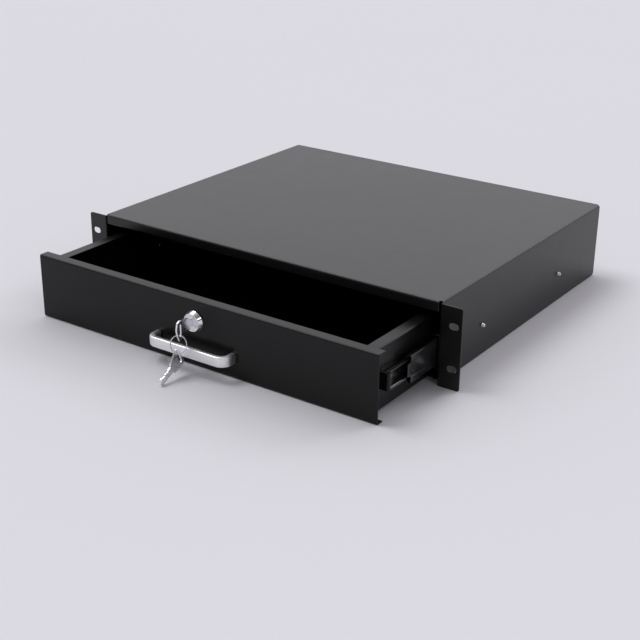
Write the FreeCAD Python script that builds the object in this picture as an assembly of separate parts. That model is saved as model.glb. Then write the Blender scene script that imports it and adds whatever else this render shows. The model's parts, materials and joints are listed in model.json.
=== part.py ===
"""Two-unit rack drawer: a sheet-metal case with rack ears, and a locking drawer on
three-section ball-bearing slides.

Frame: X to the right seen from the front, Y to the back, Z up, millimetres. The origin is the
centre of the four rack slots, on the front face of the ears. The drawer stands part way open.
"""
import FreeCAD
import Part
import os
from math import cos, pi, radians, sin, sqrt, tan

Vector = FreeCAD.Vector

# ---------------------------------------------------------------- driving dimensions
# rack standard
RACK_UNIT = 44.45
RACK_UNITS = 2
RACK_GAP = 0.8              # what a panel leaves free of its units
RACK_WIDTH = 482.6
HOLE_COLUMNS = 465.1
HOLE_ROWS = 44.45
SLOT_WIDTH = 7.0
SLOT_LENGTH = 10.5
EAR_CORNER = 2.5
EAR_TOP_DROP = 1.7          # the ears stop this far below the case's top

# case
CASE_WIDTH = 436.0
CASE_DEPTH = 370.0
CASE_SHEET = 1.2
CASE_BEND = 0.8             # inside radius of every fold in the case
FRONT_RAIL = 11.5           # depth of the rail folded down above the drawer
FRONT_LIP = 12.0            # lip folded back from that rail, which the lock's cam hooks behind
REAR_FLANGE = 12.0
FLOOR_FLANGE = 12.0
CORNER_RELIEF = 3.0
FIT_GAP = 0.3               # between sheets that lie against each other's edges
SCREW_R = 2.0               # M4
SCREW_CLEARANCE = 0.05
PAN_HEAD_R = 3.8
PAN_HEAD_H = 2.4
RECESS_REACH = 0.55         # cross recess, as shares of the head
RECESS_WIDTH = 0.13
RECESS_DEPTH = 0.6

# drawer
DRAWER_OPEN = 104.0         # how far it stands open
FRONT_SIDE_GAP = 3.0        # the front stays this far inside the case's outside faces
FRONT_GROUND_GAP = 0.3      # the front's lower lip above the case's underside
FRONT_TOP_GAP = 5.3         # the front's top below the case's rail
FRONT_TOP_RETURN = 11.5
FRONT_LOW_RETURN = 9.0
DRAWER_SHEET = 1.0
DRAWER_BEND = 1.0
TRAY_REAR_ROOM = 19.0       # the tray is this much shorter than the case
TRAY_TOP_DROP = 3.3         # the tray's rim below the front's top
TRAY_RUNNING_GAP = 1.2      # tray above the case's floor
TRAY_RIM = 13.0
TRAY_FRONT_RIM = 9.0

# slides
SLIDE_REAR_ROOM = 20.0      # the slides are this much shorter than the case
DRAWER_MEMBER_SHORT = 30.0  # the drawer member is this much shorter than the others
SLIDE_THICK = 12.7
SLIDE_HEIGHT = 35.3
SLIDE_SETBACK = 3.0         # front end of the fixed member behind the ears
DRAWER_MEMBER_SETBACK = 26.0    # front end of the drawer member behind the drawer's front face
SLIDE_RISE = 34.0           # centre line above the case's underside
OUTER_SHEET = 1.2
INNER_SHEET = 1.0
SLIDE_BEND = 0.4
OUTER_DEPTH = 10.5
WEB_GAP = 1.1               # between the outer and the middle webs
SHOULDER_LIFT = 0.05        # the middle member's shoulders above the outer balls' centres
MIDDLE_FACE = 1.8           # from the middle member's lips to the drawer's side
OUTER_BALL_R = 1.75
INNER_BALL_R = 1.5
RACE_GAP = 0.25
INNER_LIP = 0.05            # how far a lip reaches past its ball's centre
MIDDLE_SETBACK = 1.6        # front end of the closed middle member behind the ears
CHANNEL_DEPTH = 0.8         # channel pressed along the middle member's web
CHANNEL_HALF = 7.2
TONGUE = 4.5                # the channel's floor runs this far in front of the flanges
LATCH_R = 6.0               # curved slit behind the tongue
LATCH_SLIT = 1.0
CAGE_SHEET = 0.5
CAGE_LENGTH = 100.0
BALLS_IN_ROW = 3
BALL_HOLE_GAP = 0.2
OUTER_SCREW_FRONT = 84.0    # from the outer member's ends
OUTER_SCREW_REAR = 88.0
OUTER_SCREW_TAIL = 3.0
OUTER_SCREW_HEAD_R = 3.4
DRAWER_SCREW_FRONT = 8.0    # from the drawer member's ends
DRAWER_SCREW_REAR = 14.0
DRAWER_SCREW_MIDDLE = 10.0  # in front of the drawer member's middle
DRAWER_SCREW_TAIL = 1.0
BUMPER_LENGTH = 4.5
BUMPER_GAP = 0.4            # from the middle member's web
BUMPER_DROP = 0.9           # its top below the inner balls' centres
BUMPER_EDGE = 1.5

# handle
HANDLE_PITCH = 96.0
HANDLE_THICK = 6.0
HANDLE_HEIGHT = 11.0
HANDLE_REACH = 18.0
HANDLE_INNER_BEND = 6.0
HANDLE_EDGE = 1.2
HANDLE_RISE = 21.8          # centre above the case's underside
HANDLE_SCREW_DEPTH = 8.0

# lock
LOCK_RISE = 48.9            # axis above the case's underside
BEZEL_COVER = 2.1           # the bezel's rim beyond the barrel
BEZEL_FLARE = 2.0           # the bezel's face is this much smaller in radius than its rim
BEZEL_RIM = 1.2
BEZEL_LIP = 1.0             # width of the lip round the dished face
BEZEL_DISH = 0.7
BEZEL_REACH = 5.2
BARREL_R = 9.3
BARREL_FLAT_CUT = 1.3
BARREL_BACK = 13.6          # back end behind the drawer's front face
BARREL_HOLE_GAP = 0.2
PLUG_R = 6.0
PLUG_GAP = 0.05
PLUG_RECESS = 0.5
NUT_WALL = 1.7              # least wall of the nut
NUT_THICK = 4.0
THREAD_GAP = 0.03
CAM_GAP = 0.3
CAM_THICK = 2.0
CAM_REACH = 33.0
CAM_WIDTH = 13.0
CAM_TIP_WIDTH = 9.0
CAM_SCREW_R = 1.5
TAIL_SQUARE = 6.0
TAIL_GAP = 0.05

# keys
KEY_THICK = 1.8
BLADE_WIDTH = 7.0
BLADE_SHORT = 1.6           # the blade ends this far before the barrel's back
KEYWAY_GAP = 0.15
BOW_STANDOFF = 8.0          # bow's shoulder in front of the drawer's front face
BOW_LENGTH = 19.5
BOW_TOP = 8.0
BOW_BOTTOM = 13.5
KEY_SLOT_AT = 14.5          # slot's centre line from the shoulder
KEY_SLOT_WIDTH = 3.0
KEY_SLOT_TOP = 4.5
KEY_SLOT_BOTTOM = 8.5
BITTING_DEPTHS = (1.2, 0.5, 1.6, 0.8)
RING_R = 9.0
RING_WIRE_R = 0.6
RING_TURN = 12.0            # degrees about the vertical
RING_LEAN = 20.0            # degrees that the ring leans out, over the handle
RING_PLAY = 0.5             # wire above the slot's end
SPARE_DIP = 26.0            # degrees that the spare key's blade dips
SPARE_TURN = 3.0            # degrees about the vertical

# ---------------------------------------------------------------- derived places
CASE_HEIGHT = RACK_UNITS * RACK_UNIT - RACK_GAP
BASE = -CASE_HEIGHT / 2
TOP = CASE_HEIGHT / 2
WALL = CASE_WIDTH / 2                   # outer face of a side
WALL_IN = WALL - CASE_SHEET
FOLD = CASE_BEND + CASE_SHEET           # outside radius of a case fold
EAR_TOP = TOP - EAR_TOP_DROP
FLOOR_LOW = BASE + CASE_SHEET
FLOOR_TOP = FLOOR_LOW + CASE_SHEET
FLOOR_FRONT = FRONT_LOW_RETURN + 3.0    # the floor stays clear of the closed drawer's lip
REAR_PLATE = CASE_DEPTH - CASE_SHEET
SLIDE_LENGTH = CASE_DEPTH - SLIDE_REAR_ROOM
DRAWER_MEMBER_LENGTH = SLIDE_LENGTH - DRAWER_MEMBER_SHORT
OUTER_SCREWS = (OUTER_SCREW_FRONT, SLIDE_LENGTH - OUTER_SCREW_REAR)
DRAWER_SCREWS = (DRAWER_SCREW_FRONT, DRAWER_MEMBER_LENGTH / 2 - DRAWER_SCREW_MIDDLE,
                 DRAWER_MEMBER_LENGTH - DRAWER_SCREW_REAR)
FRONT_Y = -DRAWER_OPEN
MIDDLE_OPEN = DRAWER_OPEN / 2           # the middle members run at half the drawer's speed
MEMBER_FRONT = FRONT_Y + DRAWER_MEMBER_SETBACK
FRONT_WIDTH = CASE_WIDTH - 2 * FRONT_SIDE_GAP
FRONT_LOW = BASE + FRONT_GROUND_GAP
FRONT_TOP = TOP - FRONT_RAIL - FRONT_TOP_GAP
TRAY_SIDE = WALL_IN - SLIDE_THICK       # outer face of the tray's side
TRAY_LOW = FLOOR_TOP + TRAY_RUNNING_GAP
TRAY_TOP = FRONT_TOP - TRAY_TOP_DROP
TRAY_DEPTH = CASE_DEPTH - TRAY_REAR_ROOM
TRAY_FRONT = FRONT_Y + CASE_SHEET
TRAY_BACK = TRAY_FRONT + TRAY_DEPTH
SLIDE_Z = BASE + SLIDE_RISE
SCREW_HOLE_R = SCREW_R + SCREW_CLEARANCE
HANDLE_Z = BASE + HANDLE_RISE
LOCK_Z = BASE + LOCK_RISE
BEZEL_R = BARREL_R + BEZEL_COVER
CAM_Y = FRONT_Y + BARREL_BACK + CAM_GAP
BLADE_LENGTH = BOW_STANDOFF + BARREL_BACK - BLADE_SHORT
SIDES = {"left": -1, "right": 1}

# slide section: s is the distance from the case's wall, h the height over the centre line
OUTER_RACE_R = OUTER_BALL_R + RACE_GAP
INNER_RACE_R = INNER_BALL_R + RACE_GAP
OUTER_BALL_H = SLIDE_HEIGHT / 2 - OUTER_SHEET - OUTER_RACE_R
OUTER_BALL_S = OUTER_DEPTH - OUTER_SHEET - OUTER_RACE_R
MIDDLE_WEB = OUTER_SHEET + WEB_GAP
CHANNEL_FLOOR = MIDDLE_WEB + CHANNEL_DEPTH
MIDDLE_SHOULDER = OUTER_BALL_H + SHOULDER_LIFT
MIDDLE_FLANGE = OUTER_BALL_H - OUTER_RACE_R         # upper face of the middle's flange
INNER_BALL_H = MIDDLE_FLANGE - INNER_SHEET - INNER_RACE_R
INNER_BALL_S = SLIDE_THICK - MIDDLE_FACE - INNER_SHEET - INNER_RACE_R
DRAWER_FLANGE = INNER_BALL_H - INNER_RACE_R


# ---------------------------------------------------------------- shape helpers
def box(x0, x1, y0, y1, z0, z1):
    return Part.makeBox(x1 - x0, y1 - y0, z1 - z0, Vector(x0, y0, z0))


def rod(radius, start, end):
    """A cylinder from one point to another."""
    axis = end - start
    return Part.makeCylinder(radius, axis.Length, start, axis)


def solid_of(faces):
    """A closed solid from its faces."""
    solid = Part.makeSolid(Part.makeShell(faces))
    if solid.Volume < 0:
        solid.reverse()
    return solid


def flat_sided(radius0, radius1, start, end):
    """A small rod or cone with twelve flats. Screws and their holes repeat so often that
    true rounds would cost most of the part's facets."""
    axis = end - start
    up = Vector(1, 0, 0) if abs(axis.z) > 1e-6 else Vector(0, 0, 1)
    across = axis.cross(up).normalize()
    rings = []
    for at, radius in ((start, radius0), (end, radius1)):
        turns = [2 * pi * step / 12 for step in range(12)]
        rings.append([at + up * (radius * cos(turn)) + across * (radius * sin(turn))
                      for turn in turns])
    faces = [Part.Face(Part.makePolygon(ring + ring[:1])) for ring in rings]
    for index in range(12):
        points = [rings[0][index - 1], rings[0][index], rings[1][index], rings[1][index - 1]]
        faces.append(Part.Face(Part.makePolygon(points + points[:1])))
    return solid_of(faces)


def screw_hole(start, end):
    return flat_sided(SCREW_HOLE_R, SCREW_HOLE_R, start, end)


def fuse(shapes):
    """One solid from several that touch or overlap."""
    return shapes[0].multiFuse(shapes[1:]).removeSplitter()


def group(shapes):
    """Several separate solids in one node."""
    return Part.Compound(shapes)


def in_xz(u, v):
    return Vector(u, 0, v)


def in_xy(u, v):
    return Vector(u, v, 0)


def in_yz(u, v):
    return Vector(0, u, v)


def offset_corners(points, offset):
    """A polyline moved sideways, positive to the left of its travel, with mitred corners."""
    lines = []
    for (x0, y0), (x1, y1) in zip(points, points[1:]):
        length = sqrt((x1 - x0) ** 2 + (y1 - y0) ** 2)
        dx = (x1 - x0) / length
        dy = (y1 - y0) / length
        lines.append((x0 - dy * offset, y0 + dx * offset, dx, dy, length))
    moved = [(lines[0][0], lines[0][1])]
    for (ax, ay, adx, ady, _), (bx, by, bdx, bdy, _) in zip(lines, lines[1:]):
        cross = adx * bdy - ady * bdx
        along = ((bx - ax) * bdy - (by - ay) * bdx) / cross
        moved.append((ax + adx * along, ay + ady * along))
    ax, ay, adx, ady, length = lines[-1]
    moved.append((ax + adx * length, ay + ady * length))
    return moved


def rounded_edges(points, radii, place):
    """Edges along a polyline, with an arc of its own radius at each inner corner."""
    edges = []
    at = Vector(points[0][0], points[0][1], 0)
    for index in range(1, len(points) - 1):
        corner = Vector(points[index][0], points[index][1], 0)
        back = Vector(points[index - 1][0], points[index - 1][1], 0) - corner
        ahead = Vector(points[index + 1][0], points[index + 1][1], 0) - corner
        back.normalize()
        ahead.normalize()
        half = back.getAngle(ahead) / 2
        radius = radii[index - 1]
        reach = radius / tan(half)
        start = corner + back * reach
        end = corner + ahead * reach
        bisector = back + ahead
        bisector.normalize()
        middle = corner + bisector * (radius / sin(half) - radius)
        if (start - at).Length > 1e-6:
            edges.append(Part.LineSegment(place(at.x, at.y), place(start.x, start.y)).toShape())
        if radius > 1e-6:
            arc = Part.Arc(place(start.x, start.y), place(middle.x, middle.y), place(end.x, end.y))
            edges.append(arc.toShape())
        at = end
    last = points[-1]
    edges.append(Part.LineSegment(place(at.x, at.y), place(last[0], last[1])).toShape())
    return edges


def turns_left(a, b, c):
    return (b[0] - a[0]) * (c[1] - b[1]) - (b[1] - a[1]) * (c[0] - b[0]) > 0


def bent_sheet(points, sheet, bends, place, travel):
    """Folded or rolled sheet. points run along one face, the sheet lies to their left (to their
    right if negative), bends gives the inside radius at each corner, travel extrudes the section."""
    near = list(points)
    far = offset_corners(points, sheet)
    near_radii = []
    far_radii = []
    for index, bend in enumerate(bends):
        inside_is_far = turns_left(*points[index:index + 3]) == (sheet > 0)
        near_radii.append(bend + abs(sheet) if inside_is_far else bend)
        far_radii.append(bend if inside_is_far else bend + abs(sheet))
    edges = rounded_edges(near, near_radii, place)
    edges.append(Part.LineSegment(place(*near[-1]), place(*far[-1])).toShape())
    edges += rounded_edges(far[::-1], far_radii[::-1], place)
    edges.append(Part.LineSegment(place(*far[0]), place(*near[0])).toShape())
    face = Part.Face(Part.Wire(Part.__sortEdges__(edges)))
    return face.extrude(travel)


def polygon(points, place, travel, radius=0.0):
    """A closed outline with equally rounded corners, extruded."""
    count = len(points)
    edges = []
    starts = []
    ends = []
    for index in range(count):
        corner = Vector(points[index][0], points[index][1], 0)
        back = Vector(points[index - 1][0], points[index - 1][1], 0) - corner
        ahead = Vector(points[(index + 1) % count][0], points[(index + 1) % count][1], 0) - corner
        back.normalize()
        ahead.normalize()
        half = back.getAngle(ahead) / 2
        reach = radius / tan(half)
        bisector = back + ahead
        bisector.normalize()
        start = corner + back * reach
        end = corner + ahead * reach
        middle = corner + bisector * (radius / sin(half) - radius)
        starts.append(start)
        ends.append(end)
        if radius > 0:
            arc = Part.Arc(place(start.x, start.y), place(middle.x, middle.y), place(end.x, end.y))
            edges.append(arc.toShape())
    for index in range(count):
        end = ends[index]
        start = starts[(index + 1) % count]
        edges.append(Part.LineSegment(place(end.x, end.y), place(start.x, start.y)).toShape())
    face = Part.Face(Part.Wire(Part.__sortEdges__(edges)))
    return face.extrude(travel)


def pan_screw(seat, inward, length, head_r=PAN_HEAD_R, head_h=PAN_HEAD_H, shank_r=SCREW_R):
    """A cross-recessed pan-head screw: its head stands on the seat, its shank goes inward."""
    start = Vector(0, 0, -head_h)
    screw = flat_sided(head_r, head_r, start, Vector(0, 0, 0)).fuse(
        flat_sided(shank_r, shank_r, start, Vector(0, 0, length)))
    arm = head_r * RECESS_REACH
    half = head_r * RECESS_WIDTH
    floor = head_h * RECESS_DEPTH - head_h
    cross = box(-arm, arm, -half, half, -head_h, floor).fuse(box(-half, half, -arm, arm, -head_h, floor))
    screw = screw.removeSplitter().cut(cross)
    screw.Placement = FreeCAD.Placement(seat, FreeCAD.Rotation(Vector(0, 0, 1), inward))
    return screw


# ---------------------------------------------------------------- case
def ear(side):
    """The front of a side, turned outwards as a rack ear with two slots."""
    outer = RACK_WIDTH / 2
    points = [(side * outer, 0), (side * WALL_IN, 0), (side * WALL_IN, CORNER_RELIEF)]
    if side > 0:
        points = points[::-1]
    height = Vector(0, 0, EAR_TOP - BASE)
    sheet = bent_sheet(points, CASE_SHEET, [CASE_BEND], in_xy, height)
    sheet.translate(Vector(0, 0, BASE))
    corners = [edge for edge in sheet.Edges
               if abs(edge.BoundBox.XMin - side * outer) < 1e-6
               and abs(edge.BoundBox.XMax - side * outer) < 1e-6
               and edge.BoundBox.YLength > CASE_SHEET / 2 and edge.BoundBox.ZLength < 1e-6]
    sheet = sheet.makeFillet(EAR_CORNER, corners)
    for row in (-1, 1):
        sheet = sheet.cut(rack_slot(side * HOLE_COLUMNS / 2, row * HOLE_ROWS / 2))
    return sheet


def rack_slot(x, z):
    radius = SLOT_WIDTH / 2
    reach = SLOT_LENGTH / 2 - radius
    depth = CASE_SHEET * 2
    ends = [rod(radius, Vector(x + step * reach, -depth, z), Vector(x + step * reach, depth, z))
            for step in (-1, 1)]
    middle = box(x - reach, x + reach, -depth, depth, z - radius, z + radius)
    return fuse([middle] + ends)


def case_shell():
    """Top, sides, floor flanges, ears, front rail and rear flanges, folded from one sheet."""
    tail = CASE_DEPTH - FOLD - 1.0
    flange_end = WALL - FLOOR_FLANGE
    section = [(flange_end, BASE), (WALL, BASE), (WALL, TOP), (-WALL, TOP), (-WALL, BASE),
               (-flange_end, BASE)]
    body = bent_sheet(section, CASE_SHEET, [CASE_BEND] * 4, in_xz, Vector(0, tail - CORNER_RELIEF, 0))
    body.translate(Vector(0, CORNER_RELIEF, 0))
    relief = WALL_IN - FIT_GAP
    body = body.cut(box(-relief, relief, 0, FLOOR_FRONT, BASE - 1, FLOOR_LOW + CASE_BEND))
    inset = WALL - FOLD - CORNER_RELIEF / 3
    rail = [(FRONT_LIP, TOP - FRONT_RAIL), (0, TOP - FRONT_RAIL), (0, TOP), (CORNER_RELIEF, TOP)]
    front = bent_sheet(rail[::-1], CASE_SHEET, [CASE_BEND] * 2, in_yz, Vector(2 * inset, 0, 0))
    front.translate(Vector(-inset, 0, 0))
    rear = [(CASE_DEPTH, TOP - REAR_FLANGE), (CASE_DEPTH, TOP), (tail, TOP)]
    back = bent_sheet(rear, CASE_SHEET, [CASE_BEND], in_yz, Vector(2 * inset, 0, 0))
    back.translate(Vector(-inset, 0, 0))
    parts = [body, front, back]
    for side in SIDES.values():
        parts.append(ear(side))
        turn = [(side * WALL, tail), (side * WALL, CASE_DEPTH),
                (side * (WALL - REAR_FLANGE), CASE_DEPTH)]
        if side < 0:
            turn = turn[::-1]
        low = BASE + CORNER_RELIEF
        flange = bent_sheet(turn, CASE_SHEET, [CASE_BEND], in_xy,
                            Vector(0, 0, TOP - CORNER_RELIEF - low))
        flange.translate(Vector(0, 0, low))
        parts.append(flange)
    shell = fuse(parts)
    for side in SIDES.values():
        for along in OUTER_SCREWS:
            y = SLIDE_SETBACK + along
            shell = shell.cut(screw_hole(Vector(side * (WALL_IN - 1), y, SLIDE_Z),
                                         Vector(side * (WALL + 1), y, SLIDE_Z)))
    for x, z in rear_screw_places():
        shell = shell.cut(screw_hole(Vector(x, CASE_DEPTH - 3, z), Vector(x, CASE_DEPTH + 1, z)))
    return shell


def rear_screw_places():
    x = WALL - REAR_FLANGE / 2
    return [(side * x, row * CASE_HEIGHT / 4) for side in SIDES.values() for row in (-1, 1)]


def case_floor():
    """The floor plate is spot-welded on the flanges along the sides' lower edges."""
    half = WALL - FOLD - FIT_GAP
    return box(-half, half, FLOOR_FRONT, REAR_PLATE - CASE_SHEET - FIT_GAP, FLOOR_LOW, FLOOR_TOP)


def rear_panel():
    """The back plate stands inside the rear flanges."""
    half = WALL - FOLD - FIT_GAP
    plate = box(-half, half, REAR_PLATE - CASE_SHEET, REAR_PLATE, FLOOR_TOP + FIT_GAP,
                TOP - FOLD - FIT_GAP)
    for x, z in rear_screw_places():
        plate = plate.cut(screw_hole(Vector(x, REAR_PLATE - 3, z), Vector(x, REAR_PLATE + 1, z)))
    return plate


def rear_screws():
    reach = 2 * CASE_SHEET + 2.0
    return group([pan_screw(Vector(x, CASE_DEPTH, z), Vector(0, -1, 0), reach)
                  for x, z in rear_screw_places()])


# ---------------------------------------------------------------- drawer
def drawer_tray():
    """The box: bottom, sides and ends folded up, with a rim folded inwards all round."""
    rim = TRAY_SIDE - TRAY_RIM
    section = [(-rim, TRAY_TOP), (-TRAY_SIDE, TRAY_TOP), (-TRAY_SIDE, TRAY_LOW),
               (TRAY_SIDE, TRAY_LOW), (TRAY_SIDE, TRAY_TOP), (rim, TRAY_TOP)]
    sides = bent_sheet(section, DRAWER_SHEET, [DRAWER_BEND] * 4, in_xz, Vector(0, TRAY_DEPTH, 0))
    sides.translate(Vector(0, TRAY_FRONT, 0))
    ends = [(TRAY_FRONT + TRAY_FRONT_RIM, TRAY_TOP), (TRAY_FRONT, TRAY_TOP),
            (TRAY_FRONT, TRAY_LOW), (TRAY_BACK, TRAY_LOW), (TRAY_BACK, TRAY_TOP),
            (TRAY_BACK - TRAY_RIM, TRAY_TOP)]
    half = TRAY_SIDE - DRAWER_SHEET / 2
    walls = bent_sheet(ends, DRAWER_SHEET, [DRAWER_BEND] * 4, in_yz, Vector(2 * half, 0, 0))
    walls.translate(Vector(-half, 0, 0))
    reach = DRAWER_BEND + DRAWER_SHEET
    beyond = box(-half, half, TRAY_FRONT, TRAY_BACK, TRAY_LOW, TRAY_LOW + reach)
    corner = bent_sheet(section, DRAWER_SHEET, [DRAWER_BEND] * 4, in_xz, Vector(0, TRAY_DEPTH, 0))
    corner.translate(Vector(0, TRAY_FRONT, 0))
    inside = box(-half + reach, half - reach, TRAY_FRONT, TRAY_BACK, TRAY_LOW, TRAY_TOP)
    walls = walls.cut(beyond.cut(inside).cut(corner))
    tray = fuse([sides, walls])
    for side in SIDES.values():
        for along in DRAWER_SCREWS:
            y = MEMBER_FRONT + along
            tray = tray.cut(rod(SCREW_HOLE_R, Vector(side * (TRAY_SIDE - 3), y, SLIDE_Z),
                                Vector(side * (TRAY_SIDE + 1), y, SLIDE_Z)))
    return tray.cut(front_holes())


def front_holes():
    """Holes through the drawer's front and the tray behind it, for the lock and the handle."""
    back = TRAY_FRONT + DRAWER_SHEET + 1
    holes = [rod(BARREL_R + BARREL_HOLE_GAP, Vector(0, FRONT_Y - 1, LOCK_Z), Vector(0, back, LOCK_Z))]
    for step in (-1, 1):
        x = step * HANDLE_PITCH / 2
        holes.append(rod(SCREW_HOLE_R, Vector(x, FRONT_Y - 1, HANDLE_Z), Vector(x, back, HANDLE_Z)))
    return group(holes)


def drawer_front():
    """The front panel, with a return along its top and a shorter one along its bottom."""
    section = [(FRONT_Y + FRONT_TOP_RETURN, FRONT_TOP), (FRONT_Y, FRONT_TOP), (FRONT_Y, FRONT_LOW),
               (FRONT_Y + FRONT_LOW_RETURN, FRONT_LOW)]
    panel = bent_sheet(section, CASE_SHEET, [CASE_BEND] * 2, in_yz, Vector(FRONT_WIDTH, 0, 0))
    panel.translate(Vector(-FRONT_WIDTH / 2, 0, 0))
    return panel.cut(front_holes())


def drawer_handle():
    """A bow of flat bar with rounded edges, on two feet."""
    half = HANDLE_PITCH / 2 + HANDLE_THICK / 2
    reach = FRONT_Y - HANDLE_REACH
    path = [(-half, FRONT_Y), (-half, reach), (half, reach), (half, FRONT_Y)]
    bow = bent_sheet(path, HANDLE_THICK, [HANDLE_INNER_BEND] * 2, in_xy, Vector(0, 0, HANDLE_HEIGHT))
    bow.translate(Vector(0, 0, HANDLE_Z - HANDLE_HEIGHT / 2))
    rims = [edge for edge in bow.Edges
            if edge.BoundBox.ZLength < 1e-6 and edge.BoundBox.YMin < FRONT_Y - HANDLE_EDGE]
    bow = bow.makeChamfer(HANDLE_EDGE, rims)
    for step in (-1, 1):
        x = step * HANDLE_PITCH / 2
        depth = FRONT_Y - HANDLE_SCREW_DEPTH - 1
        bow = bow.cut(screw_hole(Vector(x, FRONT_Y + 1, HANDLE_Z), Vector(x, depth, HANDLE_Z)))
    return bow


def handle_screws():
    seat = TRAY_FRONT + DRAWER_SHEET
    reach = seat - FRONT_Y + HANDLE_SCREW_DEPTH
    return group([pan_screw(Vector(step * HANDLE_PITCH / 2, seat, HANDLE_Z), Vector(0, -1, 0), reach)
                  for step in (-1, 1)])


# ---------------------------------------------------------------- slides
def slide_point(side):
    """Section coordinates of a slide to the model: s from the case's wall, h over the centre."""
    return lambda s, h: Vector(side * (WALL_IN - s), 0, SLIDE_Z + h)


def slide_member(side, upper, sheet, bends, front, length=SLIDE_LENGTH):
    """A rolled member from the upper half of its section, which starts on the centre line."""
    lower = [(s, -h) for s, h in reversed(upper[1:])]
    member = bent_sheet(lower + upper[1:], sheet, bends[::-1] + bends, slide_point(side),
                        Vector(0, length, 0))
    member.translate(Vector(0, front, 0))
    return member


def outer_slide(side):
    """Fixed member: a deep channel whose lips hook round the outer balls."""
    half = SLIDE_HEIGHT / 2
    upper = [(0, 0), (0, half), (OUTER_DEPTH, half), (OUTER_DEPTH, OUTER_BALL_H - INNER_LIP)]
    member = slide_member(side, upper, -OUTER_SHEET, [SLIDE_BEND, OUTER_RACE_R], SLIDE_SETBACK)
    place = slide_point(side)
    rear = SLIDE_SETBACK + SLIDE_LENGTH
    stop = bent_sheet([(0, rear - 12), (0, rear), (8, rear)], -OUTER_SHEET, [SLIDE_BEND],
                      lambda s, y: Vector(side * (WALL_IN - s), y + 2, SLIDE_Z - 5), Vector(0, 0, 10))
    member = fuse([member, stop])
    for along in OUTER_SCREWS:
        y = Vector(0, SLIDE_SETBACK + along, 0)
        member = member.cut(flat_sided(SCREW_HOLE_R, OUTER_SCREW_HEAD_R + SCREW_CLEARANCE,
                                       place(0, 0) + y, place(OUTER_SHEET, 0) + y))
    return member


def outer_slide_screws(side):
    """Countersunk screws, tapped through the case's side, with their ends showing outside."""
    place = slide_point(side)
    tail = CASE_SHEET + OUTER_SCREW_TAIL
    screws = []
    for along in OUTER_SCREWS:
        y = Vector(0, SLIDE_SETBACK + along, 0)
        head = flat_sided(SCREW_R, OUTER_SCREW_HEAD_R, place(0, 0) + y, place(OUTER_SHEET, 0) + y)
        shank = flat_sided(SCREW_R, SCREW_R, place(-tail, 0) + y, place(0, 0) + y)
        screws.append(fuse([head, shank]))
    return group(screws)


def middle_slide(side):
    """Middle member: each flange is a shoulder with a race for an outer ball on top, and a lip
    that hooks round an inner ball below. A channel is pressed along the web, and its floor
    runs on in front as a tongue with a curved slit behind it."""
    face = SLIDE_THICK - MIDDLE_FACE
    slope = OUTER_RACE_R * sin(pi / 4)
    drop = MIDDLE_SHOULDER - (OUTER_BALL_H - slope)
    shoulder_end = OUTER_BALL_S - slope - drop
    race_start = OUTER_BALL_S - slope + (OUTER_BALL_H - slope - MIDDLE_FLANGE)
    upper = [(CHANNEL_FLOOR, 0), (CHANNEL_FLOOR, CHANNEL_HALF),
             (MIDDLE_WEB, CHANNEL_HALF + CHANNEL_DEPTH), (MIDDLE_WEB, MIDDLE_SHOULDER),
             (shoulder_end, MIDDLE_SHOULDER), (race_start, MIDDLE_FLANGE), (face, MIDDLE_FLANGE),
             (face, INNER_BALL_H - INNER_LIP)]
    bends = [SLIDE_BEND, SLIDE_BEND, SLIDE_BEND, SLIDE_BEND, OUTER_RACE_R, INNER_RACE_R]
    front = MIDDLE_SETBACK - MIDDLE_OPEN
    member = slide_member(side, upper, -INNER_SHEET, bends, front)
    place = slide_point(side)
    near = min(place(0, 0).x, place(SLIDE_THICK, 0).x)
    far = max(place(0, 0).x, place(SLIDE_THICK, 0).x)
    flanges = box(near, far, front - 1, front + TONGUE, SLIDE_Z - SLIDE_HEIGHT,
                  SLIDE_Z + SLIDE_HEIGHT)
    tongue = box(near, far, front - 1, front + TONGUE, SLIDE_Z - CHANNEL_HALF + SLIDE_BEND,
                 SLIDE_Z + CHANNEL_HALF - SLIDE_BEND)
    member = member.cut(flanges.cut(tongue))
    middle = Vector(0, front + TONGUE + LATCH_R, 0)
    start = place(0, 0) + middle
    end = place(CHANNEL_FLOOR + INNER_SHEET + 0.4, 0) + middle
    slit = rod(LATCH_R, start, end).cut(rod(LATCH_R - LATCH_SLIT, start, end))
    behind = box(near, far, middle.y - LATCH_R * 0.4, middle.y + LATCH_R, SLIDE_Z - LATCH_R,
                 SLIDE_Z + LATCH_R)
    return member.cut(slit.cut(behind))


def drawer_slide(side):
    """Drawer member: a shallow channel whose lips carry the inner balls from below."""
    lip = INNER_BALL_S - INNER_RACE_R
    upper = [(SLIDE_THICK, 0), (SLIDE_THICK, DRAWER_FLANGE), (lip, DRAWER_FLANGE),
             (lip, INNER_BALL_H + INNER_LIP)]
    bends = [SLIDE_BEND, INNER_RACE_R]
    member = slide_member(side, upper, INNER_SHEET, bends, MEMBER_FRONT, DRAWER_MEMBER_LENGTH)
    place = slide_point(side)
    for along in DRAWER_SCREWS:
        y = Vector(0, MEMBER_FRONT + along, 0)
        member = member.cut(screw_hole(place(SLIDE_THICK - INNER_SHEET - 1, 0) + y,
                                       place(SLIDE_THICK + 1, 0) + y))
    return member


def drawer_slide_screws(side):
    """Pan-head screws from inside the drawer member's channel into the tray's side."""
    seat = slide_point(side)(SLIDE_THICK - INNER_SHEET, 0)
    reach = INNER_SHEET + DRAWER_SHEET + DRAWER_SCREW_TAIL
    return group([pan_screw(seat + Vector(0, MEMBER_FRONT + along, 0), Vector(-side, 0, 0), reach)
                  for along in DRAWER_SCREWS])


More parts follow.
